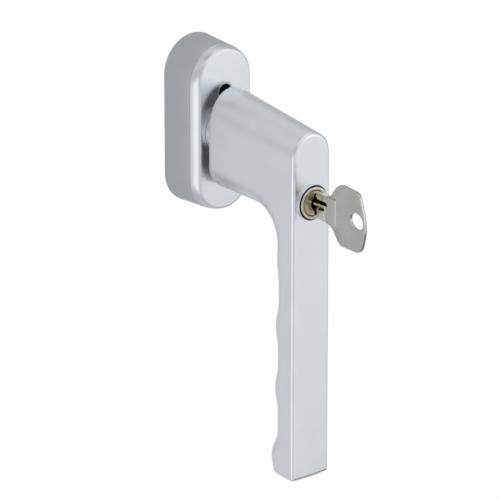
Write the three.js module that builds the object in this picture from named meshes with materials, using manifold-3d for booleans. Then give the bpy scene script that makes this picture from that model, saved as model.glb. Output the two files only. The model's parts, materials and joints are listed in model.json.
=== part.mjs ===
// Lockable window handle with its key, in millimetres.
// Frame: the origin is where the spindle axis meets the face of the window sash.
// +Z is up, the sash face is the plane y = 0, and the handle stands out towards -Y.

import * as THREE from 'three';
import { mergeVertices } from 'three/addons/utils/BufferGeometryUtils.js';
import Module from 'manifold-3d';

const wasm = await Module();
wasm.setup();

// ---- driving dimensions ---------------------------------------------------

const ROSE_WIDTH = 28;
const ROSE_HEIGHT = 67.4;
const ROSE_DEPTH = 19.6;
const ROSE_EDGE_RADIUS = 4.2;
const ROSE_WALL = 1.8;

const SCREW_SPACING = 43;
const SCREW_RADIUS = 2.5;
const SCREW_HEAD_RADIUS = 4.6;
const SCREW_TIP_Y = 9;
const CAM_RADIUS = 5;
const CAM_LENGTH = 3;

const PLATE_THICKNESS = 3;
const PLATE_MARGIN = 0.6;
const BODY_FRONT_Y = -17.4;
const BODY_HALF_WIDTH = 10.4;
const BODY_HALF_HEIGHT = 18.4;
const ACCESS_RADIUS = 5.1;

const SPIGOT_RADIUS = 7.9;
const STUB_RADIUS = 6.6;
const STUB_FLAT = 5.9;
const RING_RADIUS = 8.6;
const RING_FRONT_Y = -8.9;
const RING_BACK_Y = -3.6;
const CLIP_GROOVE_RADIUS = 5.9;
const COLLAR_RADIUS = 9.8;
const RUNNING_GAP = 0.15;
const SEAT_GAP = 0.3;

const BALL_RADIUS = 1.6;
const BALL_TRAVEL = 0.5;
const DETENT_Y = -6.3;
const CHANNEL_RADIUS = 1.8;
const CHANNEL_END_Z = 15.7;

const SPINDLE_SIDE = 7;
const SPINDLE_FRONT_Y = -16;
const SPINDLE_BACK_Y = 12;
const ROLL_PIN_Y = -13;
const ROLL_PIN_RADIUS = 1.25;

const NECK_BACK_Y = -21.8;
const NECK_BACK_HALF_WIDTH = 10.5;
const NECK_BACK_TOP_Z = 18.2;
const NECK_BACK_BOTTOM_Z = -21.5;
const GRIP_FRONT_Y = -70;
const GRIP_HALF_WIDTH = 9;
const GRIP_TOP_Z = 12.1;
const GRIP_BOTTOM_Z = -126.2;
const GRIP_WAIST_Y = -64.4;
const GRIP_EDGE = 1.2;
const LEVER_END_RADIUS = 2.2;
const LEVER_TOP_Z = -12;
const NECK_UNDERSIDE_Z = -22.3;
const NECK_FILLET_RADIUS = 14;
// [height, how far the lever's back stands behind its waist], from the bottom bulb up to the neck.
const LEVER_BACK = [
  [GRIP_BOTTOM_Z, 10.6],
  [-119.5, 11.3],
  [-103, 7.8],
  [-91.5, 9.3],
  [-77, 7.8],
  [-66, 9],
  [-51, 7.4],
  [-40, 8.3],
  [-36.3, 8.3],
];

const LOCK_Z = -15;
const HOUSING_RADIUS = 6.4;
const HOUSING_FRONT_Y = -71.3;
const HOUSING_BACK_Y = -48.2;
const CYLINDER_PIN_Y = -51;
const CYLINDER_PIN_RADIUS = 1;
const PLUG_RADIUS = 4.9;
const PLUG_FRONT_Y = -70.9;
const TAIL_RADIUS = 2.3;
const WAFER_COUNT = 5;
const WAFER_PITCH = 3.2;
const FIRST_WAFER_Y = -66.6;
const WAFER_THICKNESS = 0.8;
const WAFER_HALF_WIDTH = 2.4;
const WAFER_EAR_X = 3.4;
const WAFER_TRAVEL = 0.6;

const BOLT_NOSE_RADIUS = 2.35;
const BOLT_SLEEVE_RADIUS = 4.4;
const BOLT_TIP_Y = -22.4;
const SLEEVE_BACK_Y = -34;
const SLEEVE_FRONT_Y = -46.2;
const BOLT_TRAVEL = 8;
const DRIVE_PIN_Y = -36.4;
const DRIVE_PIN_RADIUS = 0.9;

const KEY_THICKNESS = 2.2;
const KEY_BLADE_HALF_HEIGHT = 3.5;
const KEY_TIP_Y = -50.2;
const KEY_SHOULDER_Y = -71.6;
const KEY_RING_HOLE = { u: 95.6, v: 0, radiusU: 3.2, radiusV: 3 };

const ROUND_SEGMENTS = 36;
const SMALL_SEGMENTS = 20;
const ARC_STEPS = 18;

// ---- solids ----------------------------------------------------------------

function solid(geometry) {
  geometry.deleteAttribute('normal');
  geometry.deleteAttribute('uv');
  const merged = mergeVertices(geometry);
  return new wasm.Manifold(new wasm.Mesh({
    numProp: 3,
    vertProperties: new Float32Array(merged.attributes.position.array),
    triVerts: new Uint32Array(merged.index.array),
  }));
}

function geometryOf(shape) {
  const mesh = shape.getMesh();
  const geometry = new THREE.BufferGeometry();
  geometry.setAttribute('position', new THREE.BufferAttribute(new Float32Array(mesh.vertProperties), 3));
  geometry.setIndex(new THREE.BufferAttribute(new Uint32Array(mesh.triVerts), 1));
  geometry.computeVertexNormals();
  return geometry;
}

// A cylinder, or a cone with two radii, along Y from y0 to y1 (y0 < y1).
function rod(radius, y0, y1, { x = 0, z = 0, radiusAtY1 = radius, segments = ROUND_SEGMENTS } = {}) {
  const geometry = new THREE.CylinderGeometry(radiusAtY1, radius, y1 - y0, segments);
  geometry.translate(x, (y0 + y1) / 2, z);
  return solid(geometry);
}

function block(x0, x1, y0, y1, z0, z1) {
  const geometry = new THREE.BoxGeometry(x1 - x0, y1 - y0, z1 - z0);
  geometry.translate((x0 + x1) / 2, (y0 + y1) / 2, (z0 + z1) / 2);
  return solid(geometry);
}

// A cylinder along X or Z, centred on a point.
function crossRod(axis, radius, length, x, y, z, segments = SMALL_SEGMENTS) {
  const geometry = new THREE.CylinderGeometry(radius, radius, length, segments);
  if (axis === 'x') geometry.rotateZ(Math.PI / 2);
  else geometry.rotateX(Math.PI / 2);
  geometry.translate(x, y, z);
  return solid(geometry);
}

function helixSpring(radius, wire, turns, z0, z1, x, y) {
  class Helix extends THREE.Curve {
    getPoint(t) {
      const angle = t * turns * 2 * Math.PI;
      return new THREE.Vector3(radius * Math.cos(angle), radius * Math.sin(angle), (z1 - z0) * t);
    }
  }
  const section = new THREE.Shape();
  section.absarc(0, 0, wire / 2, 0, 2 * Math.PI);
  const options = { steps: turns * 8, extrudePath: new Helix(), bevelEnabled: false, curveSegments: 2 };
  const geometry = new THREE.ExtrudeGeometry(section, options);
  geometry.translate(x, y, z0);
  return solid(geometry);
}

// An upright outline with full-radius ends, in the XZ plane, extruded along Y.
function obroundShape(halfWidth, halfHeight) {
  const points = [];
  const centre = halfHeight - halfWidth;
  for (const [start, z] of [[0, centre], [Math.PI, -centre]]) {
    for (let i = 0; i <= ARC_STEPS; i++) {
      const angle = start + Math.PI * i / ARC_STEPS;
      points.push(new THREE.Vector2(halfWidth * Math.cos(angle), z + halfWidth * Math.sin(angle)));
    }
  }
  return new THREE.Shape(points);
}

// Extrudes an XZ outline from y0 (front) to y1 (back).
function plateSolid(shape, y0, y1) {
  const geometry = new THREE.ExtrudeGeometry(shape, { depth: y1 - y0, bevelEnabled: false });
  geometry.rotateX(Math.PI / 2);
  geometry.translate(0, y1, 0);
  return solid(geometry);
}

// An obround block whose front edge is rounded: it runs from backY out to frontY.
function roundedObround(halfWidth, halfHeight, frontY, backY, edgeRadius) {
  const inset = obroundShape(halfWidth - edgeRadius, halfHeight - edgeRadius);
  const geometry = new THREE.ExtrudeGeometry(inset, {
    depth: backY - frontY - edgeRadius,
    bevelThickness: edgeRadius,
    bevelSize: edgeRadius,
    bevelSegments: 4,
  });
  geometry.rotateX(Math.PI / 2);
  geometry.translate(0, backY, 0);
  const reach = halfHeight + 1;
  return solid(geometry).subtract(block(-reach, reach, backY, backY + edgeRadius + 1, -reach, reach));
}

// Moves every vertex of a unit cylinder along Y to where place(cos, sin, height) puts it.
function loft(segments, heights, place) {
  const geometry = new THREE.CylinderGeometry(1, 1, heights.length - 1, segments, heights.length - 1);
  const position = geometry.attributes.position;
  const point = new THREE.Vector3();
  for (let i = 0; i < position.count; i++) {
    const ring = Math.round(position.getY(i) + (heights.length - 1) / 2);
    point.copy(place(position.getX(i), position.getZ(i), heights[ring]));
    position.setXYZ(i, point.x, point.y, point.z);
  }
  return solid(geometry);
}

// Smooth curve through [position, value] knots, flat at each knot.
function easedValue(knots, at) {
  if (at <= knots[0][0]) return knots[0][1];
  for (let i = 1; i < knots.length; i++) {
    const [x0, v0] = knots[i - 1];
    const [x1, v1] = knots[i];
    if (at <= x1) return v0 + (v1 - v0) * (1 - Math.cos(Math.PI * (at - x0) / (x1 - x0))) / 2;
  }
  return knots[knots.length - 1][1];
}

// ---- rosette: cover, base plate, bearing body --------------------------------

const plateHalfWidth = ROSE_WIDTH / 2 - ROSE_WALL - PLATE_MARGIN;
const plateHalfHeight = ROSE_HEIGHT / 2 - ROSE_WALL - PLATE_MARGIN;
const screwZs = [SCREW_SPACING / 2, -SCREW_SPACING / 2];

function rosetteCover() {
  const outer = roundedObround(ROSE_WIDTH / 2, ROSE_HEIGHT / 2, -ROSE_DEPTH, 0, ROSE_EDGE_RADIUS);
  const inner = roundedObround(
    ROSE_WIDTH / 2 - ROSE_WALL,
    ROSE_HEIGHT / 2 - ROSE_WALL,
    -ROSE_DEPTH + ROSE_WALL,
    1,
    ROSE_EDGE_RADIUS - ROSE_WALL,
  );
  let cover = outer.subtract(inner);
  cover = cover.subtract(rod(COLLAR_RADIUS + SEAT_GAP, -ROSE_DEPTH - 1, -ROSE_DEPTH / 2));
  for (const z of [-LOCK_Z, LOCK_Z]) {
    const options = { z, segments: SMALL_SEGMENTS };
    cover = cover.subtract(rod(BOLT_NOSE_RADIUS + SEAT_GAP, -ROSE_DEPTH - 1, -ROSE_DEPTH / 2, options));
  }
  return cover;
}

function basePlate() {
  let plate = plateSolid(obroundShape(plateHalfWidth, plateHalfHeight), -PLATE_THICKNESS, 0);
  for (const z of screwZs) {
    plate = plate.add(rod(CAM_RADIUS, -1, CAM_LENGTH, { z }));
    plate = plate.subtract(rod(SCREW_RADIUS + SEAT_GAP, -PLATE_THICKNESS - 1, CAM_LENGTH + 1, { z }));
    const sinkRadius = SCREW_HEAD_RADIUS + SEAT_GAP + 0.4;
    plate = plate.subtract(rod(sinkRadius, -PLATE_THICKNESS - 0.4, -0.2, { z, radiusAtY1: SCREW_RADIUS }));
  }
  return plate.subtract(rod(RING_RADIUS + 1, -PLATE_THICKNESS - 1, 1));
}

function coverClip(side) {
  const x = side * (plateHalfWidth - 0.9);
  const leaf = block(Math.min(x, x + side * 0.6), Math.max(x, x + side * 0.6), -13, -3.3, -5, 5);
  const foot = block(Math.min(x, x - side * 0.3), Math.max(x, x - side * 0.3), -5, -3.3, -5, 5);
  const bump = crossRod('z', 0.75, 6, x + side * 0.55, -10, 0, 16);
  return leaf.add(foot).add(bump);
}

function bearingBody() {
  const half = BODY_HALF_HEIGHT;
  const bodyBack = -PLATE_THICKNESS - SEAT_GAP;
  let body = block(-BODY_HALF_WIDTH, BODY_HALF_WIDTH, BODY_FRONT_Y, bodyBack, -half, half);
  body = body.subtract(rod(SPIGOT_RADIUS + RUNNING_GAP, BODY_FRONT_Y - 1, 0));
  body = body.subtract(rod(RING_RADIUS + 0.3, RING_FRONT_Y - 0.2, 0));
  for (const side of [1, -1]) {
    body = body.subtract(rod(ACCESS_RADIUS, BODY_FRONT_Y - 1, 0, { z: side * SCREW_SPACING / 2 }));
    const pocket = { z: side * -LOCK_Z, segments: SMALL_SEGMENTS };
    body = body.subtract(rod(BOLT_NOSE_RADIUS + 1.6, BODY_FRONT_Y - 1, -12, pocket));
    const middle = side * CHANNEL_END_Z / 2;
    body = body.subtract(crossRod('z', CHANNEL_RADIUS, CHANNEL_END_Z, 0, DETENT_Y, middle));
  }
  return body;
}

// Plastic keeper that the lock bolt enters; it lines the pocket in the bearing body.
function boltKeeper(side) {
  const z = side * -LOCK_Z;
  const front = BODY_FRONT_Y + 0.1;
  const liner = rod(BOLT_NOSE_RADIUS + 1.3, front, -12.3, { z, segments: SMALL_SEGMENTS });
  const hole = rod(BOLT_NOSE_RADIUS + 0.25, front - 1, -13.1, { z, segments: SMALL_SEGMENTS });
  const access = rod(ACCESS_RADIUS + SEAT_GAP, front - 1, 0, { z: side * SCREW_SPACING / 2 });
  return liner.subtract(hole).subtract(access);
}

function fixingScrew(z) {
  const headBack = -PLATE_THICKNESS + 2.5;
  const head = rod(SCREW_HEAD_RADIUS, -PLATE_THICKNESS, headBack, { z, radiusAtY1: SCREW_RADIUS });
  const shank = rod(SCREW_RADIUS, headBack - 0.1, SCREW_TIP_Y - 1, { z, segments: SMALL_SEGMENTS });
  const tipOptions = { z, radiusAtY1: SCREW_RADIUS - 1, segments: SMALL_SEGMENTS };
  const tip = rod(SCREW_RADIUS, SCREW_TIP_Y - 1.1, SCREW_TIP_Y, tipOptions);
  let screw = head.add(shank).add(tip);
  for (const turn of [0, Math.PI / 2]) {
    const slot = new THREE.BoxGeometry(5, 2.4, 0.9);
    slot.rotateY(turn);
    slot.translate(0, -PLATE_THICKNESS, z);
    screw = screw.subtract(solid(slot));
  }
  return screw;
}

// ---- detent: ring, balls, springs, retaining clip ---------------------------

function stubSection(radius, flat, y0, y1) {
  const round = rod(radius, y0, y1);
  return round.intersect(block(-flat, flat, y0 - 1, y1 + 1, -radius - 1, radius + 1));
}

function detentRing() {
  let ring = rod(RING_RADIUS, RING_FRONT_Y, RING_BACK_Y);
  ring = ring.subtract(stubSection(STUB_RADIUS + 0.2, STUB_FLAT + 0.2, RING_FRONT_Y - 1, RING_BACK_Y + 1));
  for (let i = 0; i < 4; i++) {
    const angle = i * Math.PI / 2;
    const reach = RING_RADIUS + BALL_RADIUS + 0.1 - BALL_TRAVEL;
    const groove = {
      x: reach * Math.sin(angle),
      z: reach * Math.cos(angle),
      segments: SMALL_SEGMENTS,
    };
    ring = ring.subtract(rod(BALL_RADIUS + 0.1, RING_FRONT_Y - 1, RING_BACK_Y + 1, groove));
  }
  return ring;
}

function detentBall(side) {
  const ball = new THREE.SphereGeometry(BALL_RADIUS, 12, 8);
  ball.translate(0, DETENT_Y, side * (RING_RADIUS + BALL_RADIUS + 0.1));
  return solid(ball);
}

function detentSpring(side) {
  const inner = RING_RADIUS + 2 * BALL_RADIUS + 0.45;
  const outer = CHANNEL_END_Z - 0.35;
  const [z0, z1] = side > 0 ? [inner, outer] : [-outer, -inner];
  return helixSpring(1.1, 0.4, 3, z0, z1, 0, DETENT_Y);
}

function retainingClip() {
  const gap = RING_BACK_Y + 0.25;
  let clip = rod(8, gap, gap + 0.9).subtract(rod(CLIP_GROOVE_RADIUS + 0.2, gap - 1, gap + 2));
  clip = clip.subtract(block(-3.2, 3.2, gap - 1, gap + 2, 2, 9));
  return clip;
}

// ---- spindle -----------------------------------------------------------------

function spindle() {
  const half = SPINDLE_SIDE / 2;
  const bar = block(-half, half, SPINDLE_FRONT_Y, SPINDLE_BACK_Y, -half, half);
  const edge = half * Math.SQRT2 - 0.35;
  const broken = rod(edge, SPINDLE_FRONT_Y - 1, SPINDLE_BACK_Y + 1);
  return bar.intersect(broken).subtract(crossRod('x', ROLL_PIN_RADIUS + 0.1, 20, 0, ROLL_PIN_Y, 0));
}

function spindlePin() {
  const length = 2 * (SPIGOT_RADIUS - 0.4);
  const pin = crossRod('x', ROLL_PIN_RADIUS, length, 0, ROLL_PIN_Y, 0);
  return pin.subtract(crossRod('x', ROLL_PIN_RADIUS * 0.55, length + 2, 0, ROLL_PIN_Y, 0, 12));
}

// ---- grip: neck, lever, collar and spigot in one casting ---------------------

// Upright section with full-radius ends, tapering from the back of the neck to the grip's front.
function neck() {
  const ys = [
    GRIP_FRONT_Y, GRIP_FRONT_Y + 0.35 * GRIP_EDGE, GRIP_FRONT_Y + GRIP_EDGE,
    -60, -50, -40, -30, NECK_BACK_Y - 1, NECK_BACK_Y - 0.3, NECK_BACK_Y,
  ];
  return loft(ROUND_SEGMENTS, ys, (c, s, y) => {
    const forward = (NECK_BACK_Y - y) / (NECK_BACK_Y - GRIP_FRONT_Y);
    let inset = 0;
    if (y < GRIP_FRONT_Y + GRIP_EDGE) {
      const depth = (y - GRIP_FRONT_Y) / GRIP_EDGE;
      inset = GRIP_EDGE * (1 - Math.sqrt(1 - (1 - depth) ** 2));
    }
    if (y > NECK_BACK_Y - 0.9) inset = 0.6 * (y - NECK_BACK_Y + 1) ** 2;
    const radius = NECK_BACK_HALF_WIDTH + (GRIP_HALF_WIDTH - NECK_BACK_HALF_WIDTH) * forward;
    const top = NECK_BACK_TOP_Z + (GRIP_TOP_Z - NECK_BACK_TOP_Z) * forward;
    const bottom = NECK_BACK_BOTTOM_Z - 0.8 * forward;
    const centre = s >= 0 ? top - radius : bottom + radius;
    if (c === 0 && s === 0) return new THREE.Vector3(0, y, (top + bottom) / 2);
    return new THREE.Vector3(c * (radius - inset), y, centre + s * (radius - inset));
  });
}

function leverBackDepth(z) {
  const start = NECK_UNDERSIDE_Z - NECK_FILLET_RADIUS;
  if (z <= start) return easedValue(LEVER_BACK, z);
  const rise = Math.min((z - start) / NECK_FILLET_RADIUS, 1);
  return LEVER_BACK.at(-1)[1] + NECK_FILLET_RADIUS * (1 - Math.sqrt(1 - rise * rise));
}

// 2.3 gives the lever's rounded back; the lower value under the neck follows its round underside.
function leverBackExponent(z) {
  const start = NECK_UNDERSIDE_Z - NECK_FILLET_RADIUS;
  return easedValue([[start, 2.3], [NECK_UNDERSIDE_Z, 1.5]], z);
}

function lever() {
  const filletStart = NECK_UNDERSIDE_Z - NECK_FILLET_RADIUS;
  const zs = [];
  for (let i = 0; i <= 4; i++) {
    zs.push(GRIP_BOTTOM_Z + LEVER_END_RADIUS * (1 - Math.cos(i * Math.PI / 8)));
  }
  for (let z = -121; z < filletStart - 2; z += 4.3) zs.push(z);
  for (let i = 0; i <= 6; i++) {
    zs.push(NECK_UNDERSIDE_Z - NECK_FILLET_RADIUS * (1 - Math.sin(i * Math.PI / 12)));
  }
  zs.push(LEVER_TOP_Z);
  const body = loft(32, zs, (c, s, z) => {
    const fromEnd = Math.max(0, 1 - (z - GRIP_BOTTOM_Z) / LEVER_END_RADIUS);
    const inset = LEVER_END_RADIUS * (1 - Math.sqrt(Math.max(0, 1 - fromEnd * fromEnd)));
    if (c === 0 && s === 0) return new THREE.Vector3(0, z, -GRIP_WAIST_Y);
    const towardsBack = s < 0;
    const exponent = towardsBack ? leverBackExponent(z) : 7;
    const depth = towardsBack ? leverBackDepth(z) : GRIP_WAIST_Y - GRIP_FRONT_Y;
    const scale = (Math.abs(c) ** exponent + Math.abs(s) ** exponent) ** (-1 / exponent);
    const x = c * scale * (GRIP_HALF_WIDTH - inset);
    const y = GRIP_WAIST_Y - s * scale * (depth - inset);
    return new THREE.Vector3(x, z, -y);
  });
  return body.rotate([90, 0, 0]);
}

function grip() {
  let shape = neck().add(lever());
  shape = shape.add(rod(COLLAR_RADIUS, NECK_BACK_Y - 1, BODY_FRONT_Y - 0.2));
  shape = shape.add(rod(SPIGOT_RADIUS, BODY_FRONT_Y - 1, RING_FRONT_Y - SEAT_GAP));
  shape = shape.add(stubSection(STUB_RADIUS, STUB_FLAT, RING_FRONT_Y - 1, -1.4));
  const half = SPINDLE_SIDE / 2 + 0.12;
  shape = shape.subtract(block(-half, half, SPINDLE_FRONT_Y - SEAT_GAP, 1, -half, half));
  shape = shape.subtract(crossRod('x', ROLL_PIN_RADIUS + 0.1, 20, 0, ROLL_PIN_Y, 0));
  const clipY = RING_BACK_Y + 0.1;
  const grooveFloor = rod(CLIP_GROOVE_RADIUS, clipY - 1, clipY + 2);
  shape = shape.subtract(rod(STUB_RADIUS + 2, clipY, clipY + 1.2).subtract(grooveFloor));
  return shape.subtract(lockCavity()).subtract(cylinderPinHole(0.1));
}

// Stepped bore through the neck: lock cylinder, bolt sleeve with its key slot, bolt nose.
function lockCavity() {
  const z = LOCK_Z;
  const cylinder = rod(HOUSING_RADIUS + 0.2, GRIP_FRONT_Y - 2, SLEEVE_FRONT_Y - 0.8, { z });
  const sleeveEnd = SLEEVE_BACK_Y + BOLT_TRAVEL + 0.4;
  const sleeve = rod(BOLT_SLEEVE_RADIUS + 0.2, SLEEVE_FRONT_Y - 1, sleeveEnd, { z });
  const keySlot = block(-1.1, 1.1, SLEEVE_FRONT_Y - 1, sleeveEnd, z, z + BOLT_SLEEVE_RADIUS + 1.3);
  const noseOptions = { z, segments: SMALL_SEGMENTS };
  const nose = rod(BOLT_NOSE_RADIUS + 0.2, sleeveEnd - 1, NECK_BACK_Y + 1, noseOptions);
  return cylinder.add(sleeve).add(keySlot).add(nose);
}

function cylinderPinHole(gap) {
  const z = LOCK_Z - HOUSING_RADIUS - 0.2;
  return crossRod('x', CYLINDER_PIN_RADIUS + gap, 14, 3.2, CYLINDER_PIN_Y, z, 16);
}

function cylinderPin() {
  const z = LOCK_Z - HOUSING_RADIUS - 0.2;
  return crossRod('x', CYLINDER_PIN_RADIUS, 10.4, 1.8, CYLINDER_PIN_Y, z, 16);
}

// ---- lock cylinder: housing, plug, wafers, clip, drive pin ---------------------

function waferY(index) {
  return FIRST_WAFER_Y + index * WAFER_PITCH;
}

function lockHousing() {
  const z = LOCK_Z;
  let housing = rod(HOUSING_RADIUS, HOUSING_FRONT_Y, HOUSING_BACK_Y, { z });
  const bore = rod(PLUG_RADIUS + RUNNING_GAP, HOUSING_FRONT_Y - 1, HOUSING_BACK_Y + 1, { z });
  housing = housing.subtract(bore);
  const slotReach = PLUG_RADIUS + WAFER_TRAVEL + 0.1;
  const slotHalf = WAFER_HALF_WIDTH + 0.3;
  const slotFront = waferY(0) - WAFER_THICKNESS;
  const slotBack = waferY(WAFER_COUNT - 1) + WAFER_THICKNESS;
  const slots = block(-slotHalf, slotHalf, slotFront, slotBack, z - slotReach, z + slotReach);
  housing = housing.subtract(slots);
  return housing.subtract(cylinderPinHole(0.12));
}

function keyway() {
  const half = KEY_THICKNESS / 2 + 0.15;
  const reach = KEY_BLADE_HALF_HEIGHT + 0.2;
  return block(-half, half, PLUG_FRONT_Y - 1, KEY_TIP_Y + 0.4, LOCK_Z - reach, LOCK_Z + reach);
}

function lockPlug() {
  const z = LOCK_Z;
  const small = { z, segments: SMALL_SEGMENTS };
  const plugBack = HOUSING_BACK_Y - 0.3;
  let plug = rod(PLUG_RADIUS, PLUG_FRONT_Y, plugBack, { z });
  plug = plug.add(rod(3.2, plugBack - 1, SLEEVE_FRONT_Y - 0.4, small));
  plug = plug.add(rod(TAIL_RADIUS, SLEEVE_FRONT_Y - 1, DRIVE_PIN_Y + 1.3, small));
  const clipGroove = rod(4, plugBack + 0.4, plugBack + 1.4, { z });
  plug = plug.subtract(clipGroove.subtract(rod(2.6, plugBack, plugBack + 2, small)));
  plug = plug.subtract(keyway());
  for (let i = 0; i < WAFER_COUNT; i++) {
    const y0 = waferY(i) - WAFER_THICKNESS / 2 - 0.12;
    const y1 = waferY(i) + WAFER_THICKNESS / 2 + 0.12;
    const half = WAFER_HALF_WIDTH + 0.12;
    plug = plug.subtract(block(-half, half, y0, y1, z - 7, z + 7));
    plug = plug.subtract(block(0, WAFER_EAR_X + 0.85, y0, y1, z + 0.7, z + 2.8));
    plug = plug.subtract(crossRod('z', 0.72, 3.9, WAFER_EAR_X, waferY(i), z - 0.75, 12));
  }
  const pinHole = crossRod('x', DRIVE_PIN_RADIUS + 0.08, 12, 4.5, DRIVE_PIN_Y, z, 16);
  return plug.subtract(pinHole);
}

function plugClip() {
  const y0 = HOUSING_BACK_Y + 0.2;
  const clip = rod(4.4, y0, y0 + 0.7, { z: LOCK_Z, segments: 32 });
  const bore = rod(2.75, y0 - 1, y0 + 2, { z: LOCK_Z, segments: SMALL_SEGMENTS });
  return clip.subtract(bore).subtract(block(-1.6, 1.6, y0 - 1, y0 + 2, LOCK_Z + 1, LOCK_Z + 6));
}

function wafer(index) {
  const y0 = waferY(index) - WAFER_THICKNESS / 2;
  const y1 = waferY(index) + WAFER_THICKNESS / 2;
  const z = LOCK_Z;
  const half = WAFER_HALF_WIDTH;
  const round = rod(PLUG_RADIUS - 0.1, y0, y1, { z });
  const plate = round.intersect(block(-half, half, y0 - 1, y1 + 1, z - 6, z + 6));
  const ear = block(half - 0.5, WAFER_EAR_X + 0.7, y0, y1, z + 1.2, z + 2);
  const windowHalf = KEY_BLADE_HALF_HEIGHT + WAFER_TRAVEL + 0.12;
  const window = block(-1.35, 1.35, y0 - 1, y1 + 1, z - windowHalf, z + windowHalf);
  return plate.add(ear).subtract(window);
}

function waferSpring(index) {
  return helixSpring(0.42, 0.22, 4, LOCK_Z - 2.45, LOCK_Z + 0.95, WAFER_EAR_X, waferY(index));
}

function drivePin() {
  return crossRod('x', DRIVE_PIN_RADIUS, 5.6, 1.3, DRIVE_PIN_Y, LOCK_Z, 16);
}

// ---- lock bolt: nose, sleeve with helical cam slot, guide rib ------------------

function lockBolt() {
  const z = LOCK_Z;
  const small = { z, segments: SMALL_SEGMENTS };
  const edgeY = BOLT_TIP_Y - 0.5;
  let bolt = rod(BOLT_SLEEVE_RADIUS, SLEEVE_FRONT_Y, SLEEVE_BACK_Y, { z });
  bolt = bolt.add(rod(BOLT_NOSE_RADIUS, SLEEVE_BACK_Y - 1, edgeY, small));
  const noseEdge = { ...small, radiusAtY1: BOLT_NOSE_RADIUS - 0.5 };
  bolt = bolt.add(rod(BOLT_NOSE_RADIUS, edgeY, BOLT_TIP_Y, noseEdge));
  const ribTop = z + BOLT_SLEEVE_RADIUS + 0.9;
  bolt = bolt.add(block(-0.85, 0.85, SLEEVE_FRONT_Y, SLEEVE_BACK_Y, z + 3, ribTop));
  bolt = bolt.subtract(rod(TAIL_RADIUS + 0.25, SLEEVE_FRONT_Y - 1, DRIVE_PIN_Y + 1.7, small));
  const steps = 18;
  let slot = null;
  for (let i = 0; i <= steps; i++) {
    const turn = i / steps;
    const cutter = new THREE.CylinderGeometry(DRIVE_PIN_RADIUS + 0.3, DRIVE_PIN_RADIUS + 0.3, 4, 10);
    cutter.rotateZ(Math.PI / 2);
    cutter.translate(4, DRIVE_PIN_Y - BOLT_TRAVEL * turn, 0);
    cutter.rotateY(Math.PI * turn);
    cutter.translate(0, 0, z);
    slot = slot ? slot.add(solid(cutter)) : solid(cutter);
  }
  return bolt.subtract(slot);
}

// ---- key -----------------------------------------------------------------------

function ellipsePoints({ u, v, radiusU, radiusV }) {
  const points = [];
  for (let i = 0; i < SMALL_SEGMENTS; i++) {
    const angle = 2 * Math.PI * i / SMALL_SEGMENTS;
    points.push(new THREE.Vector2(u + radiusU * Math.cos(angle), v + radiusV * Math.sin(angle)));
  }
  return points;
}

// The key lies in the YZ plane; u runs out of the lock (u = -y) and v runs up from the lock axis.
function keyOutline() {
  const blade = KEY_BLADE_HALF_HEIGHT;
  const outline = new THREE.Shape();
  outline.moveTo(-KEY_TIP_Y, 0.9);
  outline.lineTo(-KEY_TIP_Y + 2, blade);
  for (let i = WAFER_COUNT - 1; i >= 0; i--) {
    const u = -waferY(i);
    const depth = 0.5 + 0.25 * ((i * 2) % 3);
    outline.lineTo(u - 1.1, blade);
    outline.lineTo(u - 0.4, blade - depth);
    outline.lineTo(u + 0.4, blade - depth);
    outline.lineTo(u + 1.1, blade);
  }
  outline.lineTo(-KEY_SHOULDER_Y, blade);
  outline.lineTo(-KEY_SHOULDER_Y, 5);
  outline.lineTo(81, 5.2);
  outline.bezierCurveTo(83.3, 5.4, 84, 11.5, 87.8, 11.5);
  outline.lineTo(95.2, 11.2);
  outline.bezierCurveTo(96.8, 11, 97.3, 9.9, 97.6, 8.8);
  outline.bezierCurveTo(100.3, 1.2, 101.2, -2, 99.9, -6);
  outline.bezierCurveTo(99.3, -10.4, 98.9, -12.2, 95.6, -12.2);
  outline.lineTo(89, -12.3);
  outline.bezierCurveTo(85, -12.2, 85, -6.4, 81, -5.6);
  outline.lineTo(-KEY_SHOULDER_Y, -5.2);
  outline.lineTo(-KEY_SHOULDER_Y, -blade);
  for (let i = 0; i < WAFER_COUNT; i++) {
    const u = -waferY(i);
    const depth = 0.5 + 0.25 * ((i * 2 + 1) % 3);
    outline.lineTo(u + 1.1, -blade);
    outline.lineTo(u + 0.4, -blade + depth);
    outline.lineTo(u - 0.4, -blade + depth);
    outline.lineTo(u - 1.1, -blade);
  }
  outline.lineTo(-KEY_TIP_Y + 2, -blade);
  outline.lineTo(-KEY_TIP_Y, -0.9);
  outline.closePath();
  outline.holes.push(new THREE.Path(ellipsePoints(KEY_RING_HOLE)));
  return outline;
}

function key() {
  const geometry = new THREE.ExtrudeGeometry(keyOutline(), {
    depth: KEY_THICKNESS,
    bevelEnabled: false,
    curveSegments: 9,
  });
  geometry.translate(0, 0, -KEY_THICKNESS / 2);
  geometry.applyMatrix4(new THREE.Matrix4().set(0, 0, -1, 0, -1, 0, 0, 0, 0, 1, 0, LOCK_Z, 0, 0, 0, 1));
  let shape = solid(geometry);
  const grooveDepth = 0.45;
  for (const side of [1, -1]) {
    const x0 = side * KEY_THICKNESS / 2 - grooveDepth;
    const x1 = side * KEY_THICKNESS / 2 + grooveDepth;
    const z = LOCK_Z + side * 1.1;
    shape = shape.subtract(block(x0, x1, -79, KEY_TIP_Y + 1, z - 0.6, z + 0.6));
  }
  return shape;
}

// ---- assembly --------------------------------------------------------------------

const finishes = {
  satinAluminium: { color: 0xd2d6da, roughness: 0.38, metalness: 0.9 },
  zinc: { color: 0x8f9296, roughness: 0.5, metalness: 0.8 },
  steel: { color: 0xa9adb2, roughness: 0.35, metalness: 0.95 },
  brass: { color: 0xb59a62, roughness: 0.4, metalness: 0.9 },
  nickel: { color: 0xb9b6a8, roughness: 0.3, metalness: 0.95 },
  blackPlastic: { color: 0x17181a, roughness: 0.6, metalness: 0 },
};

const handle = new THREE.Group();

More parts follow.
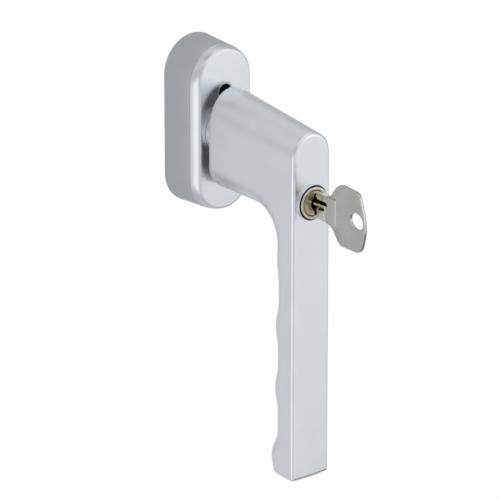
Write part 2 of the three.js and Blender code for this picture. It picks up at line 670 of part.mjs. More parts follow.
function place(name, shape, finish) {
  const mesh = new THREE.Mesh(geometryOf(shape), new THREE.MeshStandardMaterial(finishes[finish]));
  mesh.name = name;
  handle.add(mesh);
}

place('rosette_cover', rosetteCover(), 'satinAluminium');
place('base_plate', basePlate(), 'steel');
place('bearing_body', bearingBody(), 'zinc');
place('cover_clip_right', coverClip(1), 'steel');
place('cover_clip_left', coverClip(-1), 'steel');
place('bolt_keeper_upper', boltKeeper(1), 'blackPlastic');
place('bolt_keeper_lower', boltKeeper(-1), 'blackPlastic');
place('fixing_screw_upper', fixingScrew(screwZs[0]), 'steel');
place('fixing_screw_lower', fixingScrew(screwZs[1]), 'steel');

place('detent_ring', detentRing(), 'steel');
place('detent_ball_upper', detentBall(1), 'steel');
place('detent_ball_lower', detentBall(-1), 'steel');
place('detent_spring_upper', detentSpring(1), 'steel');
place('detent_spring_lower', detentSpring(-1), 'steel');
place('retaining_clip', retainingClip(), 'steel');
place('spindle', spindle(), 'steel');
place('spindle_pin', spindlePin(), 'steel');

place('grip', grip(), 'satinAluminium');
place('cylinder_pin', cylinderPin(), 'steel');
place('lock_housing', lockHousing(), 'nickel');
place('lock_plug', lockPlug(), 'brass');
place('plug_clip', plugClip(), 'steel');
place('drive_pin', drivePin(), 'steel');
place('lock_bolt', lockBolt(), 'steel');
for (let i = 0; i < WAFER_COUNT; i++) {
  place(`wafer_${i + 1}`, wafer(i), 'brass');
  place(`wafer_spring_${i + 1}`, waferSpring(i), 'steel');
}
place('key', key(), 'nickel');

export default handle;
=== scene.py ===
"""A lockable window handle: rosette, grip, lock cylinder and key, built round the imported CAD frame.

Sizes are in millimetres in the frame's axes: x across the window, y into the window, z up.
"""

import json
import math

import bmesh
import bpy
import numpy as np
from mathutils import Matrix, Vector


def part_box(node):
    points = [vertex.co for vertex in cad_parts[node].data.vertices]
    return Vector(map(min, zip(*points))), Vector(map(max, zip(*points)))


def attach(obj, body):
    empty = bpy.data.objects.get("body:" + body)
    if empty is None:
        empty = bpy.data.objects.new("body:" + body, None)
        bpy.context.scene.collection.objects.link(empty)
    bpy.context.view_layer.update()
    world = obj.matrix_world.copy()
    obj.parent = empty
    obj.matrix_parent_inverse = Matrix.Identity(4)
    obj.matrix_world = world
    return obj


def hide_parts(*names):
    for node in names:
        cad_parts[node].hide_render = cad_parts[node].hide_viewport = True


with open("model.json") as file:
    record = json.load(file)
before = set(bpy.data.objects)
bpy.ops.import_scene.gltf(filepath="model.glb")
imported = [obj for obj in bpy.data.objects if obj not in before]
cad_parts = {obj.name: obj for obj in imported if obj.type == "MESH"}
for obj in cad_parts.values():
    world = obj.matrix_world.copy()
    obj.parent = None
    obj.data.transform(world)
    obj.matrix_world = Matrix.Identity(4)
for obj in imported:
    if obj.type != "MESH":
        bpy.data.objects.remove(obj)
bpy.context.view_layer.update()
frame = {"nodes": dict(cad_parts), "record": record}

MM = 0.001

# ---- rosette dimensions -----------------------------------------------------

ROSE_HALF_WIDTH = 14.0
ROSE_HALF_HEIGHT = 33.6
ROSE_FRONT_Y = -19.6
ROSE_WALL = 1.8
ROSE_CROWN = 0.2
# The front edge is part of an ellipse, and stops at a crease before it meets the side wall.
ROSE_EDGE_WIDTH = 2.45
ROSE_EDGE_DEPTH = 3.6
ROSE_CREASE_DEG = 33
ROSE_CREASE_GROOVE = 0.4
ROSE_INNER_CHAMFER = 1.1
ROSE_FOOT_BREAK = 0.3
# The two ends draw in by the draft from the back to the crease, and their edge is narrower by this share.
ROSE_END_DRAFT = 1.0
ROSE_END_FULLNESS = 0.5
LOCK_OFFSET = 15.0
# (radius, rounding of the rim, height) of the collar's hole and of the two holes for the lock bolt.
ROSE_HOLES = ((9.7, 0.12, 0.0), (3.0, 0.3, LOCK_OFFSET), (3.0, 0.3, -LOCK_OFFSET))

# ---- grip dimensions --------------------------------------------------------

NECK_BACK_Y = -22.4
GRIP_FRONT_Y = -70.0
GRIP_HALF_SPAN = 11.5
# Each pair is a value at the neck's rear end and at the grip's front. The crest says how much taller
# than a half circle the arch over the neck is.
NECK_RADII = (10.9, 9.0)
NECK_TOP_Z = (18.0, 12.1)
NECK_CREST = (1.35, 1.08)
NECK_UNDER_Z = (-22.0, -22.3)
NECK_FILLET = 11.8
# Below the neck the section turns a little squarer over this length.
LEVER_TOP_Z = -24.0
LEVER_BLEND = 14.0
LEVER_FULLNESS = 0.3
GRIP_WAIST_Y = -64.4
GRIP_BOTTOM_Z = -126.4
BOTTOM_BOW = 0.005
BOTTOM_TILT = 0.06
FRONT_EDGE = 1.2
BOTTOM_EDGE = 0.9
BACK_EDGE = 1.2
# (height, how far the back stands behind the waist): finger hollows, crests between them, end bulb.
FINGER_BACK = (
    (-125.8, 10.2), (-119.5, 11.3), (-109.0, 7.8), (-100.5, 7.8), (-91.5, 9.3), (-82.0, 7.8),
    (-75.0, 7.8), (-66.0, 9.0), (-56.5, 7.4), (-49.5, 7.4), (-40.0, 8.3), (-30.0, 8.3),
)
# (radius, y) of the collar, the spigot, its clip groove and its end.
SPIGOT_PROFILE = (
    (9.6, -24.0), (9.6, -17.9), (9.3, -17.6), (7.9, -17.6), (7.9, -9.5), (7.6, -9.2), (6.6, -9.2),
    (6.6, -3.6), (5.9, -3.6), (5.9, -2.2), (6.6, -2.2), (6.6, -1.7), (6.3, -1.4),
)
SPIGOT_FLAT_X = 5.9
SPIGOT_FLAT_Y = -9.1
SOCKET_HALF = 3.62
SOCKET_END_Y = -16.3

# ---- lock dimensions --------------------------------------------------------

LOCK_Z = -LOCK_OFFSET
BOSS_RADIUS = 7.05
BOSS_FRONT_Y = -71.0
BOSS_BACK_Y = -68.5
BOSS_EDGE = 0.3
BORE_RADIUS = 6.75
BORE_BACK_Y = -47.0
BOLT_BORE_RADIUS = 4.6
BOLT_BORE_END_Y = -25.6
BOLT_NOSE_RADIUS = 2.55
BOLT_RIB_HALF = 1.1
BOLT_RIB_REACH = 5.7

HOUSING_RADIUS = 6.3
HOUSING_FRONT_Y = -72.0
HOUSING_BACK_Y = -48.2
HOUSING_EDGE = 0.35
# (radius, depth) of the rim's inner slope.
HOUSING_LIP = ((5.5, 0.0), (5.25, 0.25))
HOUSING_SLOT_Y = (-67.4, -53.0)
HOUSING_SLOT_HALF = 2.7
HOUSING_SLOT_REACH = 5.6
# (radius, y, z) of holes across the lock.
HOUSING_PIN_HOLE = (1.12, -51.0, LOCK_Z - 6.6)
DRIVE_PIN_HOLE = (0.98, -36.4, LOCK_Z)

PLUG_RADIUS = 4.9
PLUG_GAP = 0.1
PLUG_EDGE = 0.25
PLUG_FRONT_Y = -71.6
PLUG_BACK_Y = -48.5
# (radius, y) of the plug's tail, with the groove of its clip.
PLUG_TAIL = (
    (3.2, PLUG_BACK_Y), (3.2, -48.1), (2.6, -48.1), (2.6, -47.1), (3.2, -47.1), (3.2, -46.6),
    (2.3, -46.6), (2.3, -35.4), (2.0, -35.1),
)
WAFER_COUNT = 5
WAFER_PITCH = 3.2
FIRST_WAFER_Y = -66.6
WAFER_SLOT = 0.52
WAFER_HALF_WIDTH = 2.52
WAFER_REACH = 7
WAFER_EAR_X = 4.3
WAFER_EAR_HEIGHTS = (-2.7, 2.8)
# Left wall of the wavy keyway, as (x, height above the lock axis) from top to bottom.
KEYWAY_LEFT = (
    (1.0, 3.9), (0.5, 3.75), (-0.15, 3.1), (-0.4, 1.9), (-0.95, 1.3), (-1.45, 0.6), (-1.6, -0.2),
    (-1.5, -1.05), (-0.9, -2.0), (-0.2, -2.8), (0.0, -3.6), (0.0, -4.95),
)
KEYWAY_RIGHT = 1.3
KEYWAY_BACK_Y = -49.8
# Left face of the blade that runs in it.
BLADE_LEFT = (
    (1.0, 3.5), (0.55, 3.35), (0.25, 2.95), (0.25, 2.45), (0.8, 2.4), (0.8, 0.8),
    (-0.95, 0.75), (-0.95, -0.1), (0.5, -0.15), (0.5, -1.5), (0.3, -1.6), (0.45, -3.5),
)
BLADE_RIGHT = 1.1

# ---- key dimensions: u runs out of the lock, v up from its axis ---------------

KEY_BOW_HALF_THICKNESS = 0.75
KEY_SHANK_HALF_THICKNESS = 1.05
KEY_SHANK_V = (-5.2, 5.0)
KEY_STEP_U = 84.3
KEY_STEP_RUN = 0.6
KEY_TIP_U = 50.2
KEY_TIP_HALF = 0.9
KEY_TIP_SLOPE = 2
KEY_SHOULDER_U = 73.9
KEY_MILLED_U = 79.2
KEY_MILLED_DEPTH = 0.4
KEY_MILLED_TOP = 3.2
KEY_BLADE_HALF_HEIGHT = 3.5
KEY_EDGE = 0.14
# (u, v, radius along u, radius along v)
KEY_HOLE = (96.1, -0.2, 3.75, 3.25)
# Side grooves of the shank: face, height above the lock axis, half height, depth, where it ends.
KEY_GROOVES = ((-1, 1.62, 0.85, 1.75, 79.2), (-1, -0.85, 0.7, 1.5, 77.3), (1, 0.3, 0.5, 0.6, 79.0))
# Wafer cuts: the shallowest, and the step between one depth and the next.
CUT_DEPTH = 0.5
CUT_STEP = 0.25
CUT_HALF_TOP = 1.1
CUT_HALF_FLOOR = 0.4

# ---- screw dimensions -------------------------------------------------------

SCREW_SPACING = 43.0
# (radius, y) of the countersunk head and the neck under it.
SCREW_HEAD = ((4.3, -3.0), (4.6, -2.85), (4.6, -2.55), (2.5, -0.5), (2.3, -0.2))
SCREW_HEAD_Y = -3.0
# Half length, half width and depth of each slot of the cross recess.
SCREW_RECESS = (2.4, 0.42, 1.3)
SCREW_CORE = 2.05
SCREW_THREAD = 0.42
SCREW_THREAD_Y = 0.4
SCREW_TIP_Y = 9.0
SCREW_TIP_TAPER = 1.2
SCREW_TIP_SIZE = 0.72
SCREW_PITCH = 0.8

# ---- looks ------------------------------------------------------------------

# Cell size of the grip's mesh.
MESH_CELL = 0.55
# Width of the broken edges of each finished CAD copy.
EDGE_WIDTHS = {
    "base_plate": 0.3, "bearing_body": 0.35, "cover_clip_right": 0.1, "cover_clip_left": 0.1,
    "bolt_keeper_upper": 0.12, "bolt_keeper_lower": 0.12, "detent_ring": 0.2, "retaining_clip": 0.12,
    "spindle": 0.25, "spindle_pin": 0.12, "cylinder_pin": 0.12, "plug_clip": 0.08, "drive_pin": 0.12,
    "lock_bolt": 0.15, **{f"wafer_{i + 1}": 0.06 for i in range(WAFER_COUNT)},
}

# Painted shade: near-black colour laid by ambient occlusion into grooves, gaps and corners, and how far the
# occlusion reaches.
RECESS_SHADE_COLOUR = (0.02, 0.018, 0.012, 1)
RECESS_SHADE_REACH = 2.5 * MM
# Light colour, dark colour, range of roughness, grains per metre, grain depth in metres, and whether shade is
# painted into the grooves and corners.
METALS = {
    "satin_aluminium": ((0.81, 0.83, 0.86), (0.78, 0.80, 0.83), (0.24, 0.34), 5200, 0.000012, False),
    "die_cast_zinc": ((0.45, 0.46, 0.47), (0.34, 0.35, 0.36), (0.42, 0.62), 1800, 0.00005, False),
    "zinc_plated_steel": ((0.66, 0.68, 0.70), (0.55, 0.57, 0.60), (0.26, 0.42), 2600, 0.00002, False),
    "spring_steel": ((0.52, 0.52, 0.52), (0.40, 0.40, 0.41), (0.22, 0.36), 3000, 0.00001, False),
    "lock_nickel": ((0.72, 0.69, 0.62), (0.60, 0.57, 0.50), (0.16, 0.30), 3600, 0.000012, True),
    "lock_brass": ((0.86, 0.74, 0.53), (0.70, 0.59, 0.40), (0.3, 0.46), 3200, 0.000015, True),
}
# Light and dark colour of the key's plating, and the brass of its milled part, which is also painted lighter
# as a stand-in for the warm light on it.
KEY_NICKEL = ((0.57, 0.57, 0.54), (0.50, 0.50, 0.465))
KEY_BRASS_AND_PAINTED_LIGHT = (0.74, 0.72, 0.60, 1)

COOL_WHITE = (0.965, 0.985, 1.0, 1)
WORLD_BASE = 0.55
# Fields of the reflected studio: direction, brightness, half angles of the full field and of its soft edge.
WORLD_FIELDS = (
    ((-0.2, 0.6, 0.75), 0.72, 30, 60),
    ((0.1, -0.45, 0.85), 0.95, 28, 55),
    ((-0.25, 0.2, 0.95), 0.42, 6, 18),
    ((0.3, 0.7, -0.65), 0.68, 20, 45),
    ((-0.6, 0.73, -0.33), 0.72, 18, 32),
    ((-0.15, -0.93, -0.33), 0.74, 18, 45),
    ((-0.9, -0.2, -0.33), 1.12, 14, 34),
    ((0.6, -0.73, -0.33), 0.96, 24, 40),
    ((0.6, -0.78, 0.1), 1.6, 6, 16),
    ((0.59, -0.45, -0.7), 0.25, 8, 24),
    ((-0.3, -0.88, -0.33), 0.5, 2, 8),
)
FLOOR_HALF = 6000.0
FLOOR_Z = -220.0
CARD_CORNERS = ((-60, 2, -70), (40, 2, -70), (40, 2, 70), (-60, 2, 70))
CARD_STRENGTH = 0.42
# Where the card fades out: axis, clear at, full at.
CARD_FADES = (("X", -36, -29), ("X", 36, 24), ("Z", -60, -50), ("Z", 58, 48))
# Name, place, size, power in watts.
SOFTBOXES = (
    ("softbox_left", (-700, -900, 700), 600, 6.0),
    ("softbox_right", (800, -800, 300), 500, 3.0),
)

CAMERA_TURN_DEG = 39.0
CAMERA_RISE_DEG = 19.3
CAMERA_DISTANCE = 1800.0
CAMERA_LENS = 339.9
CAMERA_AIM = (21.64, -51.2)


# ---- mesh helpers -----------------------------------------------------------

def linked(obj):
    """Puts a new object in the scene."""
    bpy.context.scene.collection.objects.link(obj)
    return obj


def mesh_object(name, points, faces, outwards=True):
    """A mesh object from points in millimetres, with its normals turned outwards or left as given."""
    mesh = bpy.data.meshes.new(name)
    faces = [list(map(int, face)) for face in faces]
    mesh.from_pydata((np.asarray(points, float) * MM).tolist(), [], faces)
    if outwards:
        work = bmesh.new()
        work.from_mesh(mesh)
        bmesh.ops.recalc_face_normals(work, faces=work.faces)
        work.to_mesh(mesh)
        work.free()
    return linked(bpy.data.objects.new(name, mesh))


def bake(obj):
    """Replaces the mesh with what its modifiers make of it."""
    graph = bpy.context.evaluated_depsgraph_get()
    made = bpy.data.meshes.new_from_object(obj.evaluated_get(graph))
    obj.modifiers.clear()
    old = obj.data
    obj.data = made
    if old.users == 0:
        bpy.data.meshes.remove(old)
    return obj


def combine(target, operation, *tools):
    """Adds the tools to the target, or cuts them out of it, and removes them."""
    for tool in tools:
        step = target.modifiers.new("step", "BOOLEAN")
        step.operation = operation
        step.solver = "EXACT"
        step.object = tool
        bake(target)
        bpy.data.objects.remove(tool)
    return target


def cut(target, *tools):
    """Cuts the tools out of the target, and removes them."""
    return combine(target, "DIFFERENCE", *tools)


def soften(obj, width):
    """Breaks the sharp edges with a small round bevel."""
    step = obj.modifiers.new("soften", "BEVEL")
    step.width = width * MM
    step.segments = 2
    step.limit_method = "ANGLE"
    step.angle_limit = math.radians(40)
    return bake(obj)


def smooth(obj, angle):
    """Smooth shading, with edges sharper than the angle left crisp."""
    obj.data.shade_smooth()
    obj.data.set_sharp_from_angle(angle=math.radians(angle))
    return obj


def loft(name, rings, closed=False):
    """Skins rings that have the same number of points; an open loft is capped at both ends."""
    size, count = len(rings[0]), len(rings)
    faces = []
    for i in range(count if closed else count - 1):
        a, b = i * size, ((i + 1) % count) * size
        faces += [(a + j, a + (j + 1) % size, b + (j + 1) % size, b + j) for j in range(size)]
    if not closed:
        faces += [range(size), range((count - 1) * size, count * size)]
    return mesh_object(name, np.concatenate(rings), faces)


def turns(segments):
    """Angles of the corners of a ring."""
    return np.arange(segments) * 2 * np.pi / segments


def circle(radius, y, x, z, segments):
    """A ring about an axis along y; the radius may be one number or one for each corner."""
    turn = turns(segments)
    return np.stack([x + radius * np.cos(turn), np.full(segments, float(y)), z + radius * np.sin(turn)], 1)


def lathe(name, profile, x=0.0, z=0.0, segments=96, closed=False):
    """Turns a profile of (radius, y) about an axis along y."""
    return loft(name, [circle(radius, y, x, z, segments) for radius, y in profile], closed)


def arc(centre, radius, start_deg, end_deg, steps):
    """Points of an arc in a profile plane."""
    angles = np.radians(np.linspace(start_deg, end_deg, steps + 1))
    return [(centre[0] + radius * math.cos(a), centre[1] + radius * math.sin(a)) for a in angles]


def rounded_rim(radius, y, edge, steps):
    """The outer corner of a turned part's front end, at that radius and y."""
    return arc((radius - edge, y + edge), edge, 0, -90, steps)


def prism(name, outline, y0, y1):
    """An outline of (x, z) points drawn out along y."""
    return loft(name, [np.array([(x, y, z) for x, z in outline]) for y in (y0, y1)])


def box_tool(name, low, high):
    """A plain box between two corners, for cutting."""
    (x0, y0, z0), (x1, y1, z1) = low, high
    return prism(name, [(x0, z0), (x1, z0), (x1, z1), (x0, z1)], y0, y1)


def bar_across(name, radius, x0, x1, y, z, segments=32):
    """A round bar along x."""
    turn = turns(segments)
    ring = np.stack([np.zeros(segments), y + radius * np.cos(turn), z + radius * np.sin(turn)], 1)
    return loft(name, [ring + np.array([x, 0, 0]) for x in (x0, x1)])


def bezier(p0, p1, p2, p3, steps=8):
    """Points of a cubic curve from p0 to p3."""
    t = np.linspace(0, 1, steps + 1)[:, None]
    p0, p1, p2, p3 = (np.array(p, float) for p in (p0, p1, p2, p3))
    points = (1 - t) ** 3 * p0 + 3 * (1 - t) ** 2 * t * p1 + 3 * (1 - t) * t ** 2 * p2 + t ** 3 * p3
    return [tuple(p) for p in points]


def eased(knots, at):
    """A smooth curve through (position, value) knots, level at each of them."""
    places, values = (np.array(v, float) for v in zip(*knots))
    at = np.clip(at, places[0], places[-1])
    i = np.clip(np.searchsorted(places, at) - 1, 0, len(places) - 2)
    t = (at - places[i]) / (places[i + 1] - places[i])
    return values[i] + (values[i + 1] - values[i]) * (1 - np.cos(np.pi * t)) / 2


# ---- skin of a distance field -----------------------------------------------

def round_join(a, b, radius):
    """Union of two distance fields with a fillet of that radius in the inner corner."""
    corner = np.hypot(np.maximum(radius - a, 0), np.maximum(radius - b, 0))
    return np.maximum(radius, np.minimum(a, b)) - corner


def round_trim(a, b, radius):
    """Intersection of two distance fields with the outer edge rounded to that radius."""
    corner = np.hypot(np.maximum(a + radius, 0), np.maximum(b + radius, 0))
    return np.minimum(-radius, np.maximum(a, b)) + corner


def pull_to_surface(field, points, passes):
    """Moves points along the field's slope to its zero level."""
    step = 0.01
    for _ in range(passes):
        value = field(points)
        slope = np.stack([
            (field(points + step * axis) - field(points - step * axis)) / (2 * step) for axis in np.eye(3)
        ], 1)
        points = points - (value / np.maximum((slope ** 2).sum(1), 1e-6))[:, None] * slope
    return points


def edge_crossings(value, grid):
    """For each axis: the grid edges that cross the surface, where they do, and if they start inside."""
    inside = value < 0
    crossings = []
    for axis in range(3):
        near, far = [slice(None)] * 3, [slice(None)] * 3
        near[axis], far[axis] = slice(None, -1), slice(1, None)
        near, far = tuple(near), tuple(far)
        where = np.argwhere(inside[near] != inside[far])
        at = tuple(where.T)
        v0, v1 = value[near][at], value[far][at]
        points = grid[near][at].copy()
        points[:, axis] += MESH_CELL * v0 / (v0 - v1)
        crossings.append((axis, where, points, inside[near][at]))
    return crossings


def neighbour_cells(where, axis, back):
    """For each edge along the axis, the cell that lies that many steps back along the two other axes."""
    cells = where.copy()
    cells[:, [a for a in range(3) if a != axis]] -= back
    return cells


def cell_points(crossings, cells):
    """One point for each crossed cell, the mean of the crossings on its edges, and the cells' numbers."""
    total, hits = np.zeros((*cells, 3)), np.zeros(cells)
    for axis, where, points, _ in crossings:
        for back in ((0, 0), (0, 1), (1, 0), (1, 1)):
            home = neighbour_cells(where, axis, back)
            fits = ((home >= 0) & (home < cells)).all(1)
            at = tuple(home[fits].T)
            np.add.at(total, at, points[fits])
            np.add.at(hits, at, 1)
    used = hits > 0
    number = np.full(cells, -1)
    number[used] = np.arange(used.sum())
    return total[used] / hits[used][:, None], number


def cell_faces(crossings, number):
    """A quad through the four cells round each crossed edge, facing out of the surface."""
    faces = []
    for axis, where, _, starts_inside in crossings:
        round_edge = ((0, 0), (1, 0), (1, 1), (0, 1))
        quad = np.stack([number[tuple(neighbour_cells(where, axis, back).T)] for back in round_edge], 1)
        flip = starts_inside ^ (axis == 1)
        quad[flip] = quad[flip][:, ::-1]
        faces.append(quad)
    return np.concatenate(faces)


def evened(field, points, faces, passes=6):
    """Slides the points along the surface towards the mean of their neighbours."""
    starts, ends = faces.T.ravel(), np.roll(faces, -1, axis=1).T.ravel()
    count = np.maximum(np.bincount(starts, minlength=len(points)), 1)[:, None]
    for _ in range(passes):
        around = np.stack([np.bincount(starts, points[ends, i], len(points)) for i in range(3)], 1) / count
        points = pull_to_surface(field, points + 0.5 * (around - points), 1)
    return pull_to_surface(field, points, 2)


def field_skin(name, field, low, high):
    """Meshes the zero level of a distance field with even quads."""
    counts = np.ceil((np.array(high) - low) / MESH_CELL).astype(int) + 1
    axes = [low[i] + MESH_CELL * np.arange(counts[i]) for i in range(3)]
    grid = np.stack(np.meshgrid(*axes, indexing="ij"), -1)
    value = field(grid.reshape(-1, 3)).reshape(counts)
    crossings = edge_crossings(value, grid)
    points, number = cell_points(crossings, counts - 1)
    faces = cell_faces(crossings, number)
    points = evened(field, pull_to_surface(field, points, 3), faces)
    return mesh_object(name, points, faces)


# ---- materials --------------------------------------------------------------

class Nodes:
    """Short calls for building the node tree of a material or a world."""

    def __init__(self, owner):
        owner.use_nodes = True
        self.tree = owner.node_tree

    def new(self, kind, inputs=(), **settings):
        """A node; an input given as a socket is linked, and any other value is set."""
        node = self.tree.nodes.new(kind)
        for key, value in settings.items():
            setattr(node, key, value)
        for key, value in dict(inputs).items():
            if isinstance(value, bpy.types.NodeSocket):
                self.tree.links.new(value, node.inputs[key])
            else:
                node.inputs[key].default_value = value
        return node

    def ranged(self, source, low, high, start=0.3, end=0.7):
        """Maps start to end onto low to high."""
        return self.new("ShaderNodeMapRange", {
            "Value": source, "From Min": start, "From Max": end, "To Min": low, "To Max": high,
        }).outputs["Result"]

    def faded(self, source, clear_at, full_at):
        """A soft step from 0 at clear_at to 1 at full_at."""
        return self.new("ShaderNodeMapRange", {
            "Value": source, "From Min": clear_at, "From Max": full_at,
        }, interpolation_type="SMOOTHSTEP").outputs["Result"]

    def mixed(self, factor, first, second):
        """A blend of two colours."""
        return self.new("ShaderNodeMix", {
            "Factor": factor, "A": first, "B": second,
        }, data_type="RGBA").outputs["Result"]


class Surface(Nodes):
    """The nodes of one piece's material, placed by object coordinates."""

    def __init__(self, name):
        self.material = bpy.data.materials.new(name)
        super().__init__(self.material)
        self.place = self.new("ShaderNodeTexCoord").outputs["Object"]

    def noise(self, scale, detail=3.0):
        """Noise with features about 1/scale metres across."""
        inputs = {"Vector": self.place, "Scale": scale, "Detail": detail}
        return self.new("ShaderNodeTexNoise", inputs).outputs["Fac"]

    def drifting(self, light, dark, scale=90, detail=3.0):
        """A colour that wanders slowly between two."""
        return self.mixed(self.ranged(self.noise(scale, detail), 0.0, 1.0), (*dark, 1), (*light, 1))

    def paint_recess_shade(self, colour):
        """Painted shade: darkens the colour by ambient occlusion in grooves, gaps and corners."""
        shut_in = self.new("ShaderNodeAmbientOcclusion", {"Distance": RECESS_SHADE_REACH}, samples=8)
        return self.mixed(self.ranged(shut_in.outputs["AO"], 0.0, 1.0, 0.35, 0.85), RECESS_SHADE_COLOUR, colour)

    def finish(self, colour, roughness, grain, bump_strength, bump_depth, metallic):
        """Wires the shader: colour, roughness, and a bump made from the grain."""
        bump = self.new("ShaderNodeBump", {
            "Height": grain, "Strength": bump_strength, "Distance": bump_depth,
        })
        shader = self.tree.nodes["Principled BSDF"]
        shader.inputs["Metallic"].default_value = metallic
        for key, source in (
            ("Base Color", colour), ("Roughness", roughness), ("Normal", bump.outputs["Normal"]),
        ):
            self.tree.links.new(source, shader.inputs[key])
        return self.material


def metal(name, light, dark, roughness, grain, grain_depth, with_recess_shade):
    """A metal with a fine grain, a little colour drift and uneven gloss, and painted shade in its grooves and
    corners where its flag is set.
    """
    n = Surface(name)
    fine = n.noise(grain)
    colour = n.drifting(light, dark)
    # Painted shade in the grooves and corners.
    if with_recess_shade:
        colour = n.paint_recess_shade(colour)
    return n.finish(colour, n.ranged(fine, *roughness, 0.25, 0.75), fine, 0.35, grain_depth, 1.0)


def plated_key():
    """Nickel over brass; the milled part of the shank is painted a lighter, warmer brass, partly for the bare
    metal and partly as painted light, and shade is painted into the grooves.
    """
    n = Surface("key_nickel")
    fine = n.noise(3400)
    y = n.new("ShaderNodeSeparateXYZ", {0: n.place}).outputs["Y"]
    # Painted light: the milled part is given a lighter, warmer brass that stands in for the warm light on it
    # as well as for bare brass.
    milled = n.ranged(y, 0.0, 1.0, -(KEY_MILLED_U + 0.3) * MM, -(KEY_MILLED_U - 0.3) * MM)
    # Painted shade in the grooves and corners, over both colours.
    colour = n.paint_recess_shade(n.mixed(milled, n.drifting(*KEY_NICKEL), KEY_BRASS_AND_PAINTED_LIGHT))
    return n.finish(colour, n.ranged(fine, 0.2, 0.32, 0.25, 0.75), fine, 0.35, 0.000012, 1.0)


def black_plastic():
    """A dull black moulding with a fine texture."""
    n = Surface("black_plastic")
    fine = n.noise(2500, 4.0)
    colour = n.drifting((0.022, 0.022, 0.024), (0.012, 0.012, 0.013), 120, 2.0)
    return n.finish(colour, n.ranged(fine, 0.38, 0.55), fine, 0.25, 0.00003, 0.0)


MATERIALS = {name: metal(name, *look) for name, look in METALS.items()}
MATERIALS.update(key_nickel=plated_key(), black_plastic=black_plastic())


def dress(obj, slot, body, *replaced):
    """Gives a new piece its finish and the body it moves with, and hides the CAD nodes it stands for."""
    obj.data.materials.clear()
    obj.data.materials.append(MATERIALS[slot])
    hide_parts(*replaced)
    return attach(obj, body)


# ---- rosette cover ----------------------------------------------------------

def obround(inset, y, steps=32):
    """A ring round the rosette's outline, moved inwards by the inset."""
    half = ROSE_HALF_WIDTH - inset
    centre = ROSE_HALF_HEIGHT - ROSE_HALF_WIDTH + ROSE_END_FULLNESS * min(inset, ROSE_EDGE_WIDTH)
    centre -= ROSE_END_DRAFT * min(1.0, y / (ROSE_FRONT_Y + ROSE_EDGE_DEPTH))
    ring = []
    for start, z in ((0.0, centre), (math.pi, -centre)):
        for i in range(steps + 1):
            turn = start + math.pi * i / steps
            ring.append((half * math.cos(turn), y, z + half * math.sin(turn)))
    return np.array(ring)


def rosette_section():
    """(inset, y) from the middle of the front to the crease, down the wall, and back inside."""
    start = math.radians(ROSE_CREASE_DEG)
    rim_y = ROSE_FRONT_Y + ROSE_CROWN
    crease_y = rim_y + ROSE_EDGE_DEPTH
    inner_y = ROSE_FRONT_Y + ROSE_WALL
    middle = ROSE_HALF_WIDTH - 0.05
    section = []
    for inset in np.linspace(middle, ROSE_EDGE_WIDTH + 0.6, 9):
        rise = 1 - ((ROSE_HALF_WIDTH - inset) / (ROSE_HALF_WIDTH - ROSE_EDGE_WIDTH)) ** 2
        section.append((inset, rim_y - ROSE_CROWN * rise))
    for turn in np.linspace(math.pi / 2, start, 12):
        inset = ROSE_EDGE_WIDTH * (1 - math.cos(turn) / math.cos(start))
        drop = (1 - math.sin(turn)) / (1 - math.sin(start))
        section.append((inset, rim_y + ROSE_EDGE_DEPTH * drop))
    groove, foot = ROSE_CREASE_GROOVE, ROSE_FOOT_BREAK
    section += [(groove, crease_y + 0.3 * groove), (groove, crease_y + 0.7 * groove)]
    section += [(0.0, y) for y in (crease_y + groove, -10.0, -4.0, -foot)]
    section += [(foot, 0.0), (ROSE_WALL - foot, 0.0), (ROSE_WALL, -foot), (ROSE_WALL, crease_y)]
    return section + [(ROSE_WALL + ROSE_INNER_CHAMFER, inner_y), (middle, inner_y)]


def rosette_cover():
    """The shell, with holes whose rims are rounded."""
    cover = loft("rosette_shell", [obround(inset, y) for inset, y in rosette_section()])
    for radius, rim, z in ROSE_HOLES:
        edge = arc((radius + rim, ROSE_FRONT_Y + rim), rim, 270, 180, 4)
        profile = [(radius + rim, ROSE_FRONT_Y - 1)] + edge + [(radius, ROSE_FRONT_Y / 2)]
        cut(cover, lathe("hole", profile, z=z, segments=72))
    return smooth(cover, 14)


# ---- grip -------------------------------------------------------------------

def between(ends, share):
    """A value that far along from the first end to the second."""
    return ends[0] + (ends[1] - ends[0]) * share


def grip_field(p):
    """Distance field of the casting: half-round edges over one side profile, trimmed at its three ends."""
    x, y, z = p.T
    forward = np.clip((NECK_BACK_Y - y) / (NECK_BACK_Y - GRIP_FRONT_Y), -0.1, 1.1)
    radius = between(NECK_RADII, forward)
    crest = between(NECK_CREST, forward)
    top = (z - between(NECK_TOP_Z, forward) + radius * crest) / crest - radius
    under = between(NECK_UNDER_Z, forward) - z
    back = y - (GRIP_WAIST_Y + eased(FINGER_BACK, z))
    profile = np.maximum(top, round_join(under, back, NECK_FILLET))
    power = 2 + LEVER_FULLNESS * np.clip((LEVER_TOP_Z - z) / LEVER_BLEND, 0, 1)
    body = (np.abs(x) ** power + np.maximum(profile + radius, 0) ** power) ** (1 / power) - radius
    bottom = GRIP_BOTTOM_Z + BOTTOM_BOW * x ** 2 + BOTTOM_TILT * (y - GRIP_WAIST_Y) - z
    body = round_trim(body, bottom, BOTTOM_EDGE)
    body = round_trim(body, y - NECK_BACK_Y, BACK_EDGE)
    return round_trim(body, GRIP_FRONT_Y - y, FRONT_EDGE)


def spigot():
    """The collar and the spigot behind the neck, with two flats for the detent ring."""
    turned = lathe("spigot", SPIGOT_PROFILE)
    for side in (1, -1):
        low, high = sorted((side * SPIGOT_FLAT_X, side * 9))
        cut(turned, box_tool("flat", (low, SPIGOT_FLAT_Y, -9), (high, 0, 9)))
    return turned


